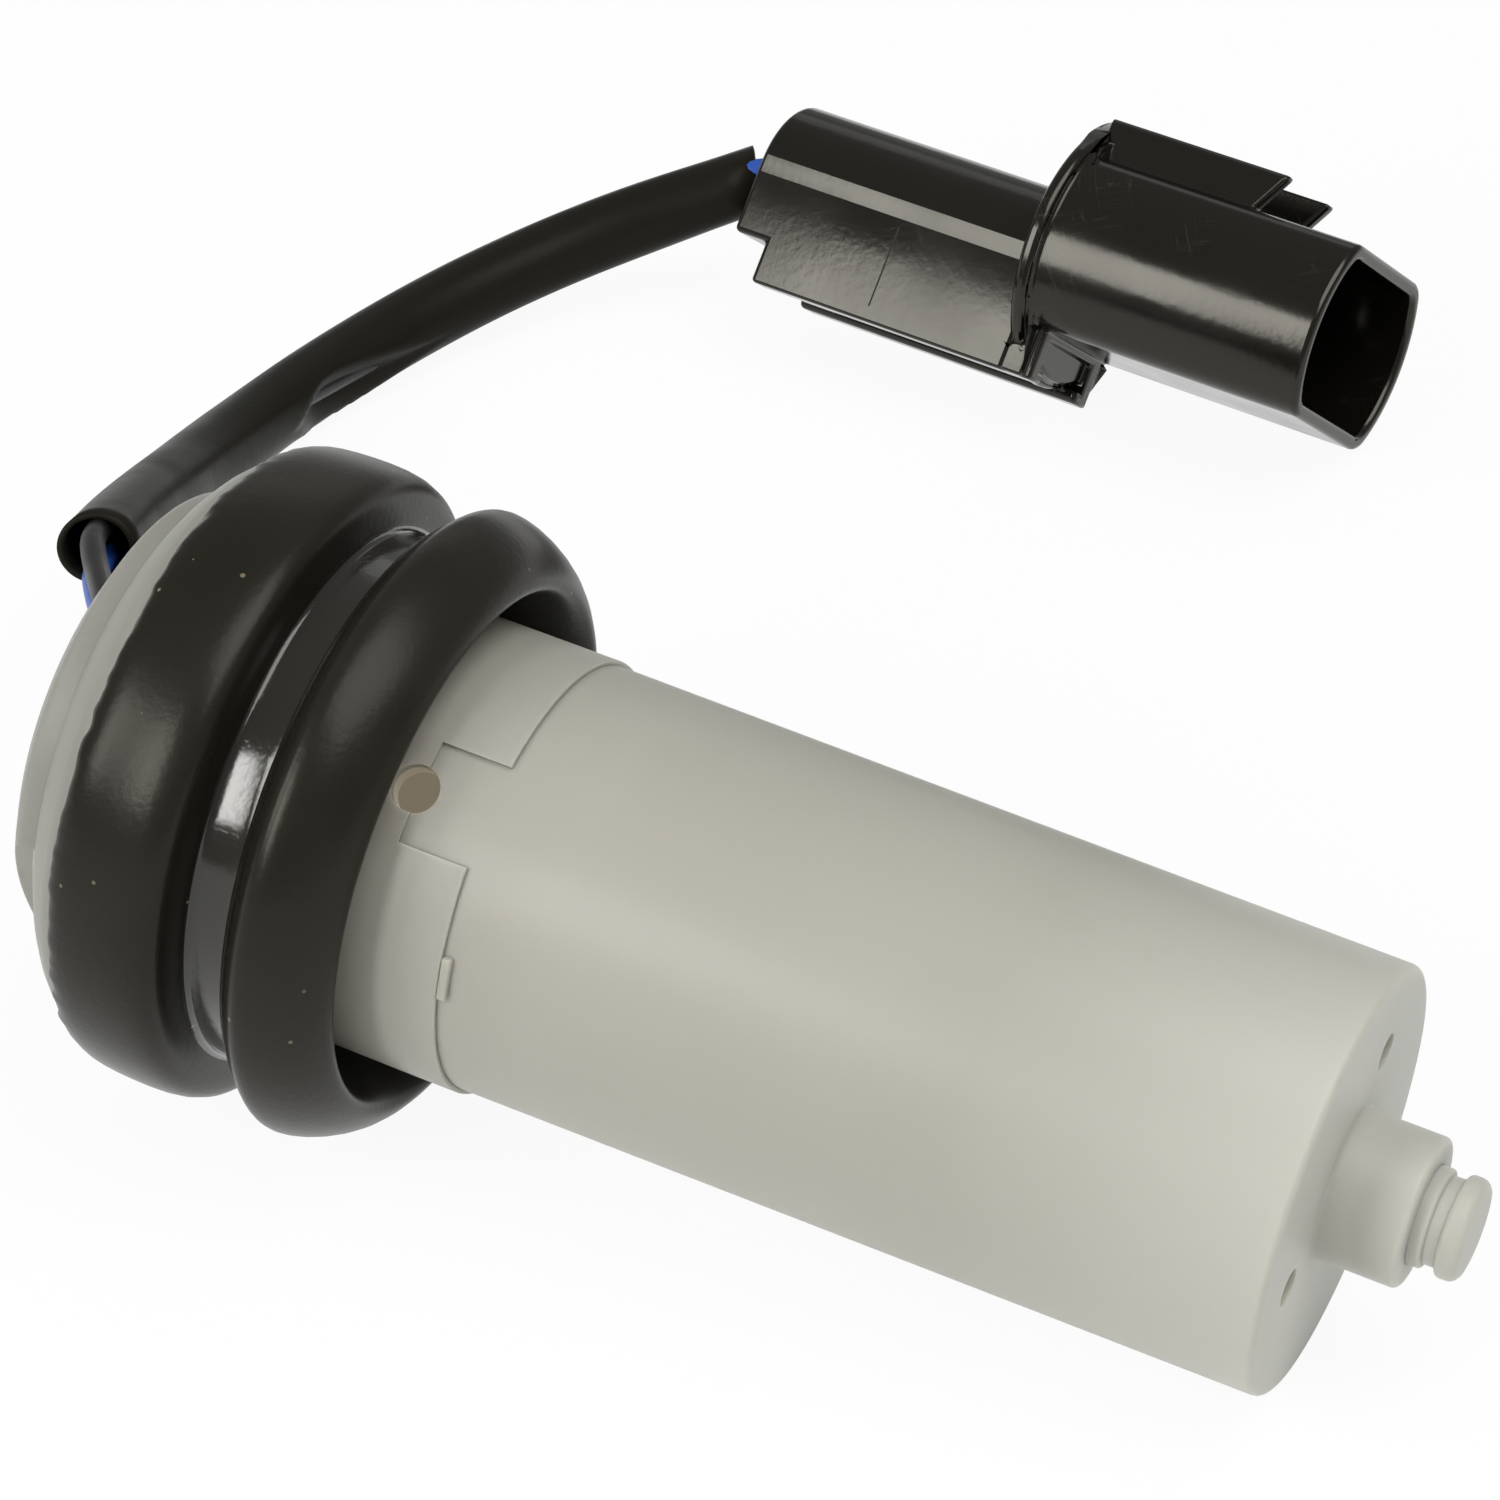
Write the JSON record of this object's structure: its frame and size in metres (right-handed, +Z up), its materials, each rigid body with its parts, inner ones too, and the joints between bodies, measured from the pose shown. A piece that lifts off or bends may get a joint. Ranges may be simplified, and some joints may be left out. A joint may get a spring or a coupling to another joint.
{
  "type": "fluid level sensor",
  "caption": "Reservoir fluid level sensor: white float chamber with end pin, black rubber grommet, short sleeved lead and an oval blade connector; a magnetic float slides inside.",
  "frame": {"origin": "on the floor, under the centre of the sensor's box, lead and connector left out", "axes": "+X runs from the cap to the float chamber's end pin, +Y points to the connector, +Z is up; the sensor lies as it rests, its axis dipping 6.3 degrees toward +X"},
  "size_m": [0.1194, 0.1299, 0.0424],
  "materials": {
    "white_plastic": "milky moulded polypropylene, satin",
    "grommet_rubber": "moulded rubber, satin with fine dust",
    "float_plastic": "foamed float, matte",
    "ferrite": "sintered ferrite, matte",
    "reed_glass": "clear green-tinted glass",
    "plated_wire": "tin plated, satin",
    "crimp_metal": "brass, satin",
    "potting_resin": "cast resin, glossy with a meniscus",
    "connector_plastic": "moulded nylon, glossy with fine scratches",
    "retainer_plastic": "moulded nylon, satin",
    "terminal_metal": "tin plated brass, satin",
    "seal_rubber": "silicone rubber, matte",
    "sleeve_vinyl": "soft vinyl tube, satin with creases",
    "wire_blue": "blue wire insulation, satin",
    "wire_black": "black wire insulation, satin"
  },
  "bodies": {
    "sensor": {"float_chamber": "white_plastic", "head_cap": "white_plastic", "grommet": "grommet_rubber", "reed_glass": "reed_glass", "reed_blade_lower": "plated_wire", "reed_blade_upper": "plated_wire", "return_lead": "plated_wire", "splice_blue": "crimp_metal", "splice_black": "crimp_metal", "potting": "potting_resin", "protective_sleeve": "sleeve_vinyl", "wire_blue": "wire_blue", "wire_black": "wire_black", "connector_housing": "connector_plastic", "terminal_retainer": "retainer_plastic", "terminal_blue": "terminal_metal", "terminal_black": "terminal_metal", "wire_seal_blue": "seal_rubber", "wire_seal_black": "seal_rubber"},
    "float": {"float_body": "float_plastic", "float_magnet": "ferrite", "float_lid": "float_plastic"}
  },
  "joints": [
    {"name": "float_travel", "type": "slide", "parent": "sensor", "child": "float", "axis": [-0.9938, 0, 0.1116], "range_m": [0, 0.0354]}
  ]
}
